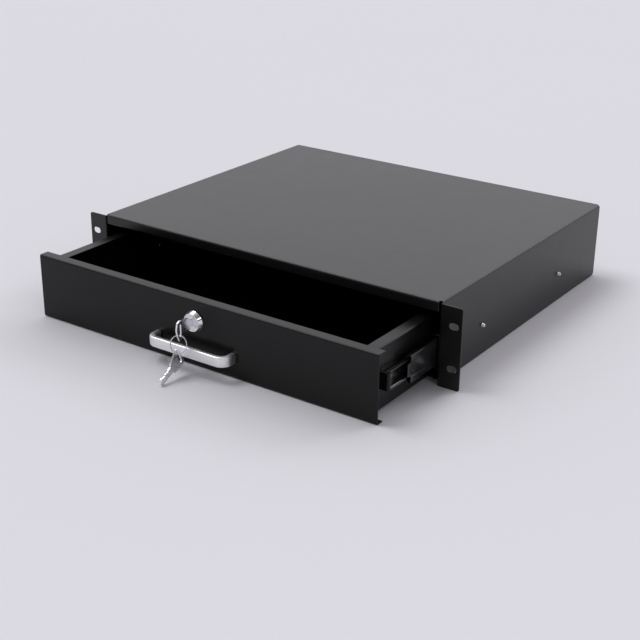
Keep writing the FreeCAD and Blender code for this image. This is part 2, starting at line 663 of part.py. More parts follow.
def slide_bumper(side):
    """A moulded stop in front of the drawer member."""
    place = slide_point(side)
    front = MEMBER_FRONT - BUMPER_LENGTH
    half = INNER_BALL_H - BUMPER_DROP
    far = place(SLIDE_THICK, 0).x
    near = place(CHANNEL_FLOOR + INNER_SHEET + BUMPER_GAP, 0).x
    block = box(min(far, near), max(far, near), front, MEMBER_FRONT, SLIDE_Z - half, SLIDE_Z + half)
    edges = [edge for edge in block.Edges
             if edge.BoundBox.ZLength > 1 and abs(edge.BoundBox.YMin - front) < 1e-6
             and abs(edge.BoundBox.XMin - near) < 1e-6]
    return block.makeChamfer(BUMPER_EDGE, edges)


def cage_start(moved):
    """Front end of a ball cage that has rolled this far from the closed drawer's place."""
    return SLIDE_SETBACK + (SLIDE_LENGTH - CAGE_LENGTH) / 2 - moved


def ball_places(side, start, s, h):
    pitch = CAGE_LENGTH / BALLS_IN_ROW
    place = slide_point(side)
    return [place(s, row * h) + Vector(0, start + pitch * (number + 0.5), 0)
            for row in (-1, 1) for number in range(BALLS_IN_ROW)]


def ball_cage(side, web, reach, height, start, ball_s, ball_h, ball_r):
    """A U-shaped strip that holds an upper and a lower row of balls in square windows."""
    upper = [(web, 0), (web, height), (reach, height)]
    cage = slide_member(side, upper, -CAGE_SHEET, [CAGE_SHEET], start, CAGE_LENGTH)
    hole = sqrt(ball_r ** 2 - (height - CAGE_SHEET - ball_h) ** 2) + BALL_HOLE_GAP
    for centre in ball_places(side, start, ball_s, ball_h):
        far = centre.z + (2 * ball_r if centre.z > SLIDE_Z else -2 * ball_r)
        cage = cage.cut(box(centre.x - hole, centre.x + hole, centre.y - hole, centre.y + hole,
                            min(centre.z, far), max(centre.z, far)))
    return cage


def outer_cage_sizes():
    moved = MIDDLE_OPEN / 2
    web = OUTER_SHEET + (WEB_GAP - CAGE_SHEET) / 2
    height = (OUTER_BALL_H + OUTER_RACE_R + MIDDLE_SHOULDER + CAGE_SHEET) / 2
    return web, OUTER_BALL_S + OUTER_BALL_R * 0.65, height, cage_start(moved)


def inner_cage_sizes():
    moved = (MIDDLE_OPEN + DRAWER_OPEN) / 2
    web = CHANNEL_FLOOR + INNER_SHEET + 0.6
    lip_top = INNER_BALL_H + INNER_LIP
    height = (MIDDLE_FLANGE - INNER_SHEET + lip_top + CAGE_SHEET) / 2
    return web, INNER_BALL_S + INNER_BALL_R * 0.65, height, cage_start(moved)


def outer_cage(side):
    web, reach, height, start = outer_cage_sizes()
    return ball_cage(side, web, reach, height, start, OUTER_BALL_S, OUTER_BALL_H, OUTER_BALL_R)


def inner_cage(side):
    web, reach, height, start = inner_cage_sizes()
    return ball_cage(side, web, reach, height, start, INNER_BALL_S, INNER_BALL_H, INNER_BALL_R)


def ball(radius, centre):
    """A ball in flat facets: each face of a twenty-faced solid is split in four."""
    golden = (1 + sqrt(5)) / 2
    corners = []
    for one in (-1, 1):
        for two in (-golden, golden):
            corners += [Vector(0, one, two), Vector(one, two, 0), Vector(two, 0, one)]
    near = 2.1
    faces = []
    for i, a in enumerate(corners):
        for j, b in enumerate(corners[:i]):
            for c in corners[:j]:
                if max((a - b).Length, (b - c).Length, (c - a).Length) > near:
                    continue
                ab, bc, ca = a + b, b + c, c + a
                for trio in ((a, ab, ca), (b, bc, ab), (c, ca, bc), (ab, bc, ca)):
                    points = [centre + point.normalize() * radius for point in map(Vector, trio)]
                    faces.append(Part.Face(Part.makePolygon(points + points[:1])))
    return solid_of(faces)


def balls(side, start, s, h, radius):
    return group([ball(radius, centre) for centre in ball_places(side, start, s, h)])


def outer_balls(side):
    return balls(side, outer_cage_sizes()[3], OUTER_BALL_S, OUTER_BALL_H, OUTER_BALL_R)


def inner_balls(side):
    return balls(side, inner_cage_sizes()[3], INNER_BALL_S, INNER_BALL_H, INNER_BALL_R)


# ---------------------------------------------------------------- lock
def turned(profile):
    """A solid turned about the lock's axis from (radius, y) points."""
    points = [Vector(radius, y, LOCK_Z) for radius, y in profile]
    face = Part.Face(Part.makePolygon(points + points[:1]))
    return face.revolve(Vector(0, 0, LOCK_Z), Vector(0, 1, 0), 360)


def lock_body():
    """Bezel and threaded barrel with two flats, bored for the plug."""
    front = FRONT_Y - BEZEL_REACH
    back = FRONT_Y + BARREL_BACK
    bore = PLUG_R + PLUG_GAP
    dish = front + BEZEL_DISH
    face = BEZEL_R - BEZEL_FLARE
    inner = face - BEZEL_LIP
    bezel = turned([(bore, dish), (inner, dish), (inner, front), (face, front),
                    (BEZEL_R, FRONT_Y - BEZEL_RIM), (BEZEL_R, FRONT_Y), (bore, FRONT_Y)])
    barrel = turned([(bore, FRONT_Y), (BARREL_R, FRONT_Y), (BARREL_R, back), (bore, back)])
    for side in SIDES.values():
        near = side * (BARREL_R - BARREL_FLAT_CUT)
        far = side * (BARREL_R + 1)
        barrel = barrel.cut(box(min(near, far), max(near, far), TRAY_FRONT + DRAWER_SHEET, back + 1,
                                LOCK_Z - BARREL_R, LOCK_Z + BARREL_R))
    return fuse([bezel, barrel])


def lock_nut():
    """Hexagon nut behind the tray's front wall."""
    seat = TRAY_FRONT + DRAWER_SHEET
    radius = (BARREL_R + NUT_WALL) / cos(pi / 6)
    corners = [(radius * cos(pi / 3 * step), LOCK_Z + radius * sin(pi / 3 * step))
               for step in range(6)]
    nut = polygon(corners, in_xz, Vector(0, NUT_THICK, 0))
    nut.translate(Vector(0, seat, 0))
    bore = BARREL_R + THREAD_GAP
    return nut.cut(rod(bore, Vector(0, seat - 1, LOCK_Z), Vector(0, seat + NUT_THICK + 1, LOCK_Z)))


def lock_plug():
    """The part that turns: keyway in front, square tail for the cam behind."""
    front = FRONT_Y - BEZEL_REACH + PLUG_RECESS
    back = FRONT_Y + BARREL_BACK + CAM_GAP / 2
    plug = rod(PLUG_R, Vector(0, front, LOCK_Z), Vector(0, back, LOCK_Z))
    tail = TAIL_SQUARE / 2
    plug = plug.fuse(box(-tail, tail, back, CAM_Y + CAM_THICK - TAIL_GAP, LOCK_Z - tail, LOCK_Z + tail))
    wide = KEY_THICK / 2 + KEYWAY_GAP
    high = BLADE_WIDTH / 2 + KEYWAY_GAP
    depth = FRONT_Y - BOW_STANDOFF + BLADE_LENGTH + KEYWAY_GAP
    keyway = box(-wide, wide, front - 1, depth, LOCK_Z - high, LOCK_Z + high)
    screw = flat_sided(CAM_SCREW_R + THREAD_GAP, CAM_SCREW_R + THREAD_GAP,
                       Vector(0, depth + 0.4, LOCK_Z), Vector(0, CAM_Y + CAM_THICK, LOCK_Z))
    return plug.removeSplitter().cut(keyway).cut(screw)


def lock_cam():
    """A tapered arm with a square hole, pointing sideways while unlocked."""
    hub = CAM_WIDTH / 2
    tip = CAM_TIP_WIDTH / 2
    outline = [(hub, LOCK_Z + hub), (hub, LOCK_Z - hub), (-hub, LOCK_Z - hub),
               (-CAM_REACH, LOCK_Z - tip), (-CAM_REACH, LOCK_Z + tip), (-hub, LOCK_Z + hub)]
    arm = polygon(outline, in_xz, Vector(0, CAM_THICK, 0), 2.0)
    arm.translate(Vector(0, CAM_Y, 0))
    square = TAIL_SQUARE / 2 + TAIL_GAP
    return arm.cut(box(-square, square, CAM_Y - 1, CAM_Y + CAM_THICK + 1,
                       LOCK_Z - square, LOCK_Z + square))


def cam_screw():
    depth = FRONT_Y - BOW_STANDOFF + BLADE_LENGTH + KEYWAY_GAP + 0.4
    seat = Vector(0, CAM_Y + CAM_THICK, LOCK_Z)
    reach = seat.y - depth - 0.3
    return pan_screw(seat, Vector(0, -1, 0), reach, head_r=4.6, head_h=2.0,
                     shank_r=CAM_SCREW_R)


# ---------------------------------------------------------------- keys
def key_shape():
    """A flat key in its lock: blade pointing back, bow in front, slot for the ring."""
    shoulder = FRONT_Y - BOW_STANDOFF
    half = BLADE_WIDTH / 2
    out = shoulder - BOW_LENGTH
    bow_outline = [(shoulder, half + 1.5), (shoulder - 2, BOW_TOP - 1), (out + 5, BOW_TOP),
                   (out + 1.5, BOW_TOP - 1.5), (out, 0), (out + 0.8, -BOW_TOP * 0.8),
                   (out + 4, -BOW_BOTTOM), (out + 7.5, -BOW_BOTTOM + 1.5),
                   (shoulder - 2, -half - 3.5), (shoulder, -half - 1.5)]
    lift = Vector(-KEY_THICK / 2, 0, LOCK_Z)
    wide = Vector(KEY_THICK, 0, 0)
    bow = polygon(bow_outline, in_yz, wide, 0.8)
    tip = shoulder + BLADE_LENGTH
    blade = polygon([(shoulder - 3, half), (shoulder - 3, -half), (tip - 3, -half), (tip, 0),
                     (tip - 2, half)], in_yz, wide)
    key = bow.fuse(blade).removeSplitter()
    slot_y = shoulder - KEY_SLOT_AT
    radius = KEY_SLOT_WIDTH / 2
    low = -KEY_SLOT_BOTTOM + radius
    high = KEY_SLOT_TOP - radius
    slot = fuse([rod(radius, Vector(-1, slot_y, low), Vector(KEY_THICK + 1, slot_y, low)),
                 rod(radius, Vector(-1, slot_y, high), Vector(KEY_THICK + 1, slot_y, high)),
                 box(-1, KEY_THICK + 1, slot_y - radius, slot_y + radius, low, high)])
    key = key.cut(slot)
    pitch = (BLADE_LENGTH - 9) / len(BITTING_DEPTHS)
    for number, depth in enumerate(BITTING_DEPTHS):
        y = shoulder + 6 + pitch * number
        cut = polygon([(y - depth - 0.6, -half - 0.1), (y + depth + 0.6, -half - 0.1),
                       (y + 0.5, -half + depth), (y - 0.5, -half + depth)], in_yz,
                      Vector(KEY_THICK + 2, 0, 0))
        cut.translate(Vector(-1, 0, 0))
        key = key.cut(cut)
    key.translate(lift)
    return key


def ring_directions():
    """The ring's level direction, and the direction down its leaning plane."""
    turn = radians(RING_TURN)
    lean = radians(RING_LEAN)
    level = Vector(cos(turn), sin(turn), 0)
    down = Vector(sin(turn) * sin(lean), -cos(turn) * sin(lean), -cos(lean))
    return level, down


def ring_top():
    """Where the ring's wire passes through the slot of the key in the lock."""
    lowest = LOCK_Z - KEY_SLOT_BOTTOM + RING_WIRE_R + RING_PLAY
    return Vector(0, FRONT_Y - BOW_STANDOFF - KEY_SLOT_AT, lowest)


def ring_low():
    return ring_top() + ring_directions()[1] * (2 * RING_R)


def key_ring():
    """A ring of square wire."""
    level, down = ring_directions()
    axis = level.cross(down)
    start = ring_top() + down * RING_R - axis * RING_WIRE_R
    end = start + axis * (2 * RING_WIRE_R)
    return rod(RING_R + RING_WIRE_R, start, end).cut(rod(RING_R - RING_WIRE_R, start, end))


def spare_key():
    """The second key hangs by the end of its slot from the bottom of the ring."""
    spare = key_shape()
    radius = KEY_SLOT_WIDTH / 2
    slot_end = Vector(0, FRONT_Y - BOW_STANDOFF - KEY_SLOT_AT, LOCK_Z - KEY_SLOT_BOTTOM + radius)
    spare.rotate(slot_end, Vector(1, 0, 0), 180 + SPARE_DIP)
    spare.rotate(slot_end, Vector(0, 0, 1), SPARE_TURN)
    below = Vector(0, 0, radius - RING_WIRE_R - RING_PLAY)
    spare.translate(ring_low() - below - slot_end)
    return spare


# ---------------------------------------------------------------- nodes
NODES = {
    "case_shell": case_shell,
    "case_floor": case_floor,
    "rear_panel": rear_panel,
    "rear_screws": rear_screws,
    "drawer_tray": drawer_tray,
    "drawer_front": drawer_front,
    "drawer_handle": drawer_handle,
    "handle_screws": handle_screws,
    "lock_body": lock_body,
    "lock_nut": lock_nut,
    "lock_plug": lock_plug,
    "lock_cam": lock_cam,
    "cam_screw": cam_screw,
    "key": key_shape,
    "key_ring": key_ring,
    "spare_key": spare_key,
}
PAIRED_NODES = {
    "outer_slide": outer_slide,
    "outer_slide_screws": outer_slide_screws,
    "outer_cage": outer_cage,
    "outer_balls": outer_balls,
    "middle_slide": middle_slide,
    "inner_cage": inner_cage,
    "inner_balls": inner_balls,
    "drawer_slide": drawer_slide,
    "drawer_slide_screws": drawer_slide_screws,
    "slide_bumper": slide_bumper,
}

os.makedirs("parts", exist_ok=True)
for name, make in NODES.items():
    make().exportStep("parts/" + name + ".step")
for name, make in PAIRED_NODES.items():
    for side_name, side_sign in SIDES.items():
        make(side_sign).exportStep("parts/" + name + "_" + side_name + ".step")
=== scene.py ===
"""Visual model of the two-unit rack drawer.

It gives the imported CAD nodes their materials, puts rounder pieces in place of the
flat-sided handle, ring, balls and screws, and sets up the studio and the camera.
The units are metres, in the CAD's frame: X is to the right seen from the front,
Y to the back and Z up.
"""
import json
import math

import bmesh
import bpy
import numpy as np
from mathutils import Matrix, Vector


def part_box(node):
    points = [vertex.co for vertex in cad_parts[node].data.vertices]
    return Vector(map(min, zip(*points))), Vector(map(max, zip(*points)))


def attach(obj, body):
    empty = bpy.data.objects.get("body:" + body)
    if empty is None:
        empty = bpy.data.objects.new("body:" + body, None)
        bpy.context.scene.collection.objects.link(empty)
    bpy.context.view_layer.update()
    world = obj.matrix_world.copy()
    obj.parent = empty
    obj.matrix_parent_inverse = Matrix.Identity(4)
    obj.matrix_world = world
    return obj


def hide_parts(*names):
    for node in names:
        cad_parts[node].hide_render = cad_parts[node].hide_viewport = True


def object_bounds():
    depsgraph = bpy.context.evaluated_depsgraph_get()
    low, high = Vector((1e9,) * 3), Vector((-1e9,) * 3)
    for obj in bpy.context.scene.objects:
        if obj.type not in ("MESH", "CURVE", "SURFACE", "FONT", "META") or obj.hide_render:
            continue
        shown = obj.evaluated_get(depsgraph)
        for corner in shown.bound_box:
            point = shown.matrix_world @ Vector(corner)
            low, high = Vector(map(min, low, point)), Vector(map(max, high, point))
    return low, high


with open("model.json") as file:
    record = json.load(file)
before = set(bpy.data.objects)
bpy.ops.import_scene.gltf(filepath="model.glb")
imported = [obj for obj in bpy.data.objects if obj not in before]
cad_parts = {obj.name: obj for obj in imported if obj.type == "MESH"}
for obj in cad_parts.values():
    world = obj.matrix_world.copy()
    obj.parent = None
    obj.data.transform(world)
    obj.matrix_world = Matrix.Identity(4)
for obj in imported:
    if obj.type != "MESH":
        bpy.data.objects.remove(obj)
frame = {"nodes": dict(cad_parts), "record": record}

cad_low, cad_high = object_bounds()
nodes = frame["nodes"]
bodies_of = {node: body
             for body, names in frame["record"]["behaviour"]["bodies"].items()
             for node in names}
slot_of = {subpart["node"]: subpart["material_slot"] for subpart in frame["record"]["subparts"]}


def linked(name, data):
    """A new object in the scene."""
    obj = bpy.data.objects.new(name, data)
    bpy.context.scene.collection.objects.link(obj)
    return obj


# ------------------------------------------------------------------ node trees
MIX_FACTOR, MIX_A, MIX_B, MIX_RESULT = 0, 6, 7, 2      # a Mix node's sockets for colours
NOISE_MIDDLE = (0.3, 0.7)   # most of a noise's values lie between these
PATCH_LOW = 0.35            # a noise's values below this make no patch
BEVEL_SAMPLES = 6
FINE_RELIEF = 0.0001        # depth of the finest bumps


class Nodes:
    """Short names for building a node tree."""

    def __init__(self, tree, coordinates):
        self.tree = tree
        self.coords = self.new("TexCoord").outputs[coordinates]

    def new(self, kind):
        return self.tree.nodes.new("ShaderNode" + kind)

    def link(self, start, end):
        self.tree.links.new(start, end)

    def band(self, value, low, high, to_low, to_high):
        """Takes low..high to to_low..to_high, and stays level beyond them."""
        node = self.new("MapRange")
        for name, number in (("From Min", low), ("From Max", high), ("To Min", to_low), ("To Max", to_high)):
            node.inputs[name].default_value = number
        self.link(value, node.inputs["Value"])
        return node.outputs["Result"]

    def combined(self, operation, first, second):
        node = self.new("Math")
        node.operation = operation
        self.link(first, node.inputs[0])
        self.link(second, node.inputs[1])
        return node.outputs[0]


class Surface(Nodes):
    """A material's node tree, on the object's own coordinates."""

    def __init__(self, name):
        self.material = bpy.data.materials.new(name)
        self.material.use_nodes = True
        super().__init__(self.material.node_tree, "Object")
        self.shader = self.tree.nodes["Principled BSDF"]

    def set(self, name, value):
        self.shader.inputs[name].default_value = value

    def noise(self, scale, detail, coords=None):
        node = self.new("TexNoise")
        node.inputs["Scale"].default_value = scale
        node.inputs["Detail"].default_value = detail
        self.link(coords or self.coords, node.inputs["Vector"])
        return node.outputs["Fac"]

    def patches(self, scale, detail, high=0.7):
        """A noise whose middle values are stretched to 0..1, so that it makes patches."""
        return self.band(self.noise(scale, detail), PATCH_LOW, high, 0, 1)

    def grain(self, stretch):
        """A noise with its own scale along each axis, so that it can run in lines."""
        node = self.new("Mapping")
        node.inputs["Scale"].default_value = stretch
        self.link(self.coords, node.inputs["Vector"])
        return self.noise(scale=1.0, detail=3.0, coords=node.outputs["Vector"])

    def colour(self, factor, first, second):
        """Base colour that drifts from first to second."""
        node = self.new("Mix")
        node.data_type = "RGBA"
        node.inputs[MIX_A].default_value = (*first, 1)
        node.inputs[MIX_B].default_value = (*second, 1)
        self.link(factor, node.inputs[MIX_FACTOR])
        self.link(node.outputs[MIX_RESULT], self.shader.inputs["Base Color"])

    def roughness(self, noise, low, high):
        self.link(self.band(noise, *NOISE_MIDDLE, low, high), self.shader.inputs["Roughness"])

    def bump(self, height, strength, relief=FINE_RELIEF):
        node = self.new("Bump")
        node.inputs["Strength"].default_value = strength
        node.inputs["Distance"].default_value = relief
        self.link(height, node.inputs["Height"])
        self.add_to_normal(node)

    def round_edges(self, radius):
        """Soft edges on sharp sheet corners, seen only in the shading."""
        node = self.new("Bevel")
        node.samples = BEVEL_SAMPLES
        node.inputs["Radius"].default_value = radius
        self.add_to_normal(node)

    def add_to_normal(self, node):
        """Puts a node last in the chain that ends at the shader's normal."""
        previous = self.shader.inputs["Normal"].links
        if previous:
            self.link(previous[0].from_socket, node.inputs["Normal"])
        self.link(node.outputs["Normal"], self.shader.inputs["Normal"])


# ------------------------------------------------------------------ materials
# grains per metre along X, Y and Z: few along an axis and many across it make lines
EVEN = (900, 900, 900)
ALONG_X = (60, 1500, 1500)
ALONG_Y = (1500, 60, 1500)
ACROSS_KEY = (300, 900, 900)
BLACK = (0.0025, 0.0025, 0.0025)


def shade(colour, gain, lift=0.0):
    """The colour made lighter or darker."""
    return tuple(c * gain + lift for c in colour)


def powder_coat(name, colour, rough, specular):
    """Fine-textured paint: orange peel, fine grain and faint handling marks."""
    paint = Surface(name)
    paint.colour(paint.patches(scale=9.0, detail=4.0, high=0.65), colour, shade(colour, 1.4, 0.0005))
    paint.roughness(paint.noise(scale=60.0, detail=5.0), rough - 0.01, rough + 0.015)
    paint.set("Specular IOR Level", specular)
    paint.round_edges(radius=0.0009)
    paint.bump(paint.noise(scale=900.0, detail=2.0), strength=0.10, relief=0.0003)
    paint.bump(paint.noise(scale=3200.0, detail=1.0), strength=0.12)
    return paint.material


def metal(name, colour, rough, grain=EVEN, strength=0.08, wear=0.15, soft=0.0):
    """Bare or plated metal with a grain, a cloudy roughness and darker worn patches.

    strength is the grain's, wear how much darker the patches are, and soft the
    radius of the soft edges.
    """
    bare = Surface(name)
    bare.colour(bare.patches(scale=55.0, detail=4.0), colour, shade(colour, 1 - wear))
    bare.roughness(bare.noise(scale=140.0, detail=5.0), rough * 0.8, rough * 1.25)
    bare.set("Metallic", 1.0)
    if soft:
        bare.round_edges(soft)
    bare.bump(bare.grain(grain), strength)
    return bare.material


def coated_steel(name, colour, rough):
    """Black electro-coated steel: smooth, glossy, with the pressing's fine drawing lines."""
    coat = Surface(name)
    coat.colour(coat.patches(scale=70.0, detail=4.0), colour, shade(colour, 2, 0.001))
    coat.roughness(coat.noise(scale=160.0, detail=5.0), rough * 0.92, rough * 1.1)
    coat.set("Specular IOR Level", 0.75)
    coat.round_edges(radius=0.00035)
    coat.bump(coat.grain(ALONG_Y), strength=0.01)
    return coat.material


def plastic(name, colour, rough):
    """Moulded plastic or rubber with a fine matt texture."""
    moulded = Surface(name)
    moulded.colour(moulded.noise(scale=80.0, detail=3.0), colour, shade(colour, 1.5, 0.003))
    moulded.roughness(moulded.noise(scale=300.0, detail=3.0), rough - 0.05, rough + 0.08)
    moulded.set("Specular IOR Level", 0.2)
    moulded.round_edges(radius=0.0006)
    moulded.bump(moulded.noise(scale=1500.0, detail=2.0), strength=0.15)
    return moulded.material


# each material slot's maker and its looks
LOOKS = {
    "case_paint": (powder_coat, dict(colour=BLACK, rough=0.31, specular=0.46)),
    "drawer_paint": (powder_coat, dict(colour=BLACK, rough=0.31, specular=0.25)),
    "fasteners": (metal, dict(colour=(0.55, 0.55, 0.54), rough=0.2, wear=0.25)),
    "slide_steel": (coated_steel, dict(colour=(0.006, 0.006, 0.0065), rough=0.22)),
    "cage_steel": (metal, dict(colour=(0.4, 0.4, 0.4), rough=0.3, grain=ALONG_Y, strength=0.06, wear=0.2)),
    "balls": (metal, dict(colour=(0.75, 0.75, 0.76), rough=0.1, strength=0.02, wear=0.1)),
    "handle_aluminium": (metal, dict(colour=(0.95, 0.95, 0.95), rough=0.42, grain=ALONG_X, wear=0.04)),
    "lock_chrome": (metal, dict(colour=(0.82, 0.82, 0.83), rough=0.06,
                                strength=0.004, wear=0.08, soft=0.0003)),
    "cam_steel": (metal, dict(colour=(0.6, 0.6, 0.6), rough=0.3, grain=ALONG_X, wear=0.2, soft=0.0003)),
    "key_nickel": (metal, dict(colour=(0.90, 0.90, 0.94), rough=0.28, grain=ACROSS_KEY,
                               strength=0.04, wear=0.10, soft=0.0004)),
    "ring_steel": (metal, dict(colour=(0.85, 0.85, 0.86), rough=0.18, strength=0.04)),
    "bumper_rubber": (plastic, dict(colour=(0.003, 0.003, 0.003), rough=0.3)),
}
MATERIALS = {slot: make(slot, **looks) for slot, (make, looks) in LOOKS.items()}
for node, obj in nodes.items():
    for material_slot in obj.material_slots:
        material_slot.material = MATERIALS[slot_of[node]]


# ------------------------------------------------------------------ building pieces
LATHE_STEPS = 28
CREASE = math.radians(32)   # turned pieces are smooth over flatter edges than this
WELD = 1e-6                 # vertices this near are one
SQUARE = ((-1, -1), (1, -1), (1, 1), (-1, 1))


def piece(name, bm, node):
    """A smooth mesh that stands for a node: it rides on the node's body and takes its slot."""
    mesh = bpy.data.meshes.new(name)
    bmesh.ops.recalc_face_normals(bm, faces=bm.faces)
    bm.to_mesh(mesh)
    bm.free()
    mesh.shade_smooth()
    obj = linked(name, mesh)
    obj.data.materials.append(MATERIALS[slot_of[node]])
    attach(obj, bodies_of[node])
    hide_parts(node)
    return obj


def islands(node):
    """The points of each separate solid in a node."""
    bm = bmesh.new()
    bm.from_mesh(nodes[node].data)
    bmesh.ops.remove_doubles(bm, verts=bm.verts, dist=WELD)
    seen, groups = set(), []
    for vert in bm.verts:
        if vert in seen:
            continue
        stack, group = [vert], []
        seen.add(vert)
        while stack:
            at = stack.pop()
            group.append(at.co.copy())
            for edge in at.link_edges:
                other = edge.other_vert(at)
                if other not in seen:
                    seen.add(other)
                    stack.append(other)
        groups.append(np.array(group))
    bm.free()
    return groups


def swept(bm, path, section):
    """Skins a section along a path and caps both ends.

    path holds (point, across, up), and section holds (a, b): a along across, b along up.
    """
    rings = [[bm.verts.new(point + across * a + up * b) for a, b in section] for point, across, up in path]
    for ring, after in zip(rings, rings[1:]):
        for i in range(len(section)):
            j = (i + 1) % len(section)
            bm.faces.new((ring[i], ring[j], after[j], after[i]))
    bm.faces.new(rings[0][::-1])
    bm.faces.new(rings[-1])


def lathe(bm, profile, place):
    """Turns (radius, height) points about place's Z axis. A radius of 0 makes a point."""
    angles = [2 * math.pi * i / LATHE_STEPS for i in range(LATHE_STEPS)]
    rings = []
    for radius, height in profile:
        if radius == 0:
            points = [Vector((0, 0, height))]
        else:
            points = [Vector((radius * math.cos(angle), radius * math.sin(angle), height))
                      for angle in angles]
        rings.append([bm.verts.new(place @ point) for point in points])
    for ring, after in zip(rings, rings[1:]):
        for i in range(LATHE_STEPS):
            j = (i + 1) % LATHE_STEPS
            corners = [ring[i % len(ring)], ring[j % len(ring)],
                       after[j % len(after)], after[i % len(after)]]
            bm.faces.new(list(dict.fromkeys(corners)))


def cut_away(bm, cutter):
    """bm less cutter, through an applied Boolean modifier. Both are used up."""
    objects = []
    for solid in (bm, cutter):
        mesh = bpy.data.meshes.new("cutting")
        bmesh.ops.recalc_face_normals(solid, faces=solid.faces)
        solid.to_mesh(mesh)
        solid.free()
        objects.append(linked("cutting", mesh))
    modifier = objects[0].modifiers.new("cut", "BOOLEAN")
    modifier.operation = "DIFFERENCE"
    modifier.solver = "EXACT"
    modifier.use_self = True
    modifier.object = objects[1]
    evaluated = objects[0].evaluated_get(bpy.context.evaluated_depsgraph_get())
    result = bmesh.new()
    result.from_mesh(bpy.data.meshes.new_from_object(evaluated))
    for obj in objects:
        bpy.data.objects.remove(obj)
    return result


# ------------------------------------------------------------------ handle
UP = Vector((0, 0, 1))
HANDLE_THICK = 0.006
HANDLE_BEND = HANDLE_THICK + 0.003      # radius of the bar's middle line at a corner
HANDLE_EDGE = 0.0018                    # radius of its soft edges
BEND_STEPS = 16
EDGE_STEPS = 6


def rounded_section(width, height, radius):
    """A rectangle with round corners, about its middle."""
    points = []
    for cx, cy, start in ((1, 1, 0), (-1, 1, 90), (-1, -1, 180), (1, -1, 270)):
        for step in range(EDGE_STEPS + 1):
            angle = math.radians(start + 90 * step / EDGE_STEPS)
            points.append((cx * (width / 2 - radius) + radius * math.cos(angle),
                           cy * (height / 2 - radius) + radius * math.sin(angle)))
    return points


def bow_handle():
    """A flat bar that comes out of the drawer's front, bends twice and goes back in."""
    low, high = (Vector(c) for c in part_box("drawer_handle"))
    centre_z = (low.z + high.z) / 2
    left, right = low.x + HANDLE_THICK / 2, high.x - HANDLE_THICK / 2
    front = low.y + HANDLE_THICK / 2
    path = [(Vector((left, high.y, centre_z)), Vector((1, 0, 0)), UP)]
    for side, start in ((left + HANDLE_BEND, 180), (right - HANDLE_BEND, 270)):
        corner = Vector((side, front + HANDLE_BEND, centre_z))
        for step in range(BEND_STEPS + 1):
            angle = math.radians(start + 90 * step / BEND_STEPS)
            out = Vector((math.cos(angle), math.sin(angle), 0))
            path.append((corner + out * HANDLE_BEND, -out, UP))
    path.append((Vector((right, high.y, centre_z)), Vector((-1, 0, 0)), UP))
    bm = bmesh.new()
    swept(bm, path, rounded_section(HANDLE_THICK, high.z - low.z, HANDLE_EDGE))
    piece("bow_handle", bm, "drawer_handle")


# ------------------------------------------------------------------ split ring
WIRE_R = 0.00036
WIRE_INSET = 1.9            # wire's middle inside the ring's outer edge, in wire radii
RING_PITCH = 1.04           # distance between the two turns, in wire diameters
RING_TURNS = 2
TURN_STEPS = 96
STEP_START, STEP_LENGTH = 0.9, 0.2      # where the wire steps across, in turns
WIRE_SIDE = 30              # degrees round the wire from corner to corner


def split_ring():
    """Round wire that goes round twice and steps across once."""
    points = islands("key_ring")[0]
    centre = Vector((points.max(0) + points.min(0)) / 2)
    _, _, axes = np.linalg.svd(points - points.mean(0), full_matrices=False)
    first, normal = Vector(axes[0]), Vector(axes[2])
    second = normal.cross(first)
    outer = float(np.linalg.norm(points - np.array(centre), axis=1).max())
    path = []
    for step in range(TURN_STEPS * RING_TURNS + 1):
        turns = step / TURN_STEPS
        angle = math.radians(360 * turns)
        across = min(max((turns - STEP_START) / STEP_LENGTH, 0), 1)
        eased = 3 * across ** 2 - 2 * across ** 3
        lift = WIRE_R * RING_PITCH * (2 * eased - 1)
        out = first * math.cos(angle) + second * math.sin(angle)
        path.append((centre + out * (outer - WIRE_R * WIRE_INSET) + normal * lift, out, normal))
    section = [(WIRE_R * math.cos(math.radians(a)), WIRE_R * math.sin(math.radians(a)))
               for a in range(0, 360, WIRE_SIDE)]
    bm = bmesh.new()
    swept(bm, path, section)
    piece("split_ring", bm, "key_ring")


# ------------------------------------------------------------------ balls
def round_balls(node):
    """A round ball in place of each flat-sided one of a cage."""
    bm = bmesh.new()
    for points in islands(node):
        middle = Vector(points.mean(0))
        radius = float(np.linalg.norm(points - np.array(middle), axis=1).max())
        bmesh.ops.create_icosphere(bm, subdivisions=3, radius=radius, matrix=Matrix.Translation(middle))
    piece(f"{node}_round", bm, node)


# ------------------------------------------------------------------ screws
LEVEL = 1e-5                # points this near in height or radius count as level

# domed heads; the shares are of the head's radius or of its height
DOME_HEIGHT = 0.72          # the rest of the height is the rim
DOME_FULLNESS = 0.8         # a power: 1 is an ellipse, and less is fuller
DOME_ANGLES = range(0, 91, 15)
RECESS_REACH = 0.5
RECESS_WIDTH = 0.11         # half of an arm's width
RECESS_DEPTH = 0.7
RECESS_FLOOR_REACH = 0.45   # the recess's floor, as shares of its mouth's reach and width
RECESS_FLOOR_WIDTH = 0.6
RECESS_PROUD = 0.0004       # how far the cutter stands out of the head
TIP_CHAMFER = 0.0004

# flush heads and tapped ends
DIMPLE_DEPTH = 0.0003       # in the head
DIMPLE_FLOOR, DIMPLE_MOUTH = 0.3, 0.36      # shares of the head's radius
SINK = 0.0012               # depth in which the head narrows to the shank
THREAD_PITCH = 0.0007
THREAD_DEPTH = 0.00025
THREAD_ROOT, THREAD_CREST = 0.3, 0.2        # before and after a ridge's middle, in pitches
PLAIN_END = 0.0006          # length without thread
END_ROUND = 0.0003
END_POINT = 0.0006          # how much narrower the end's flat is than the shank
END_DIMPLE = 0.5            # share of the shank's radius
END_DIMPLE_DEPTH = 0.0007


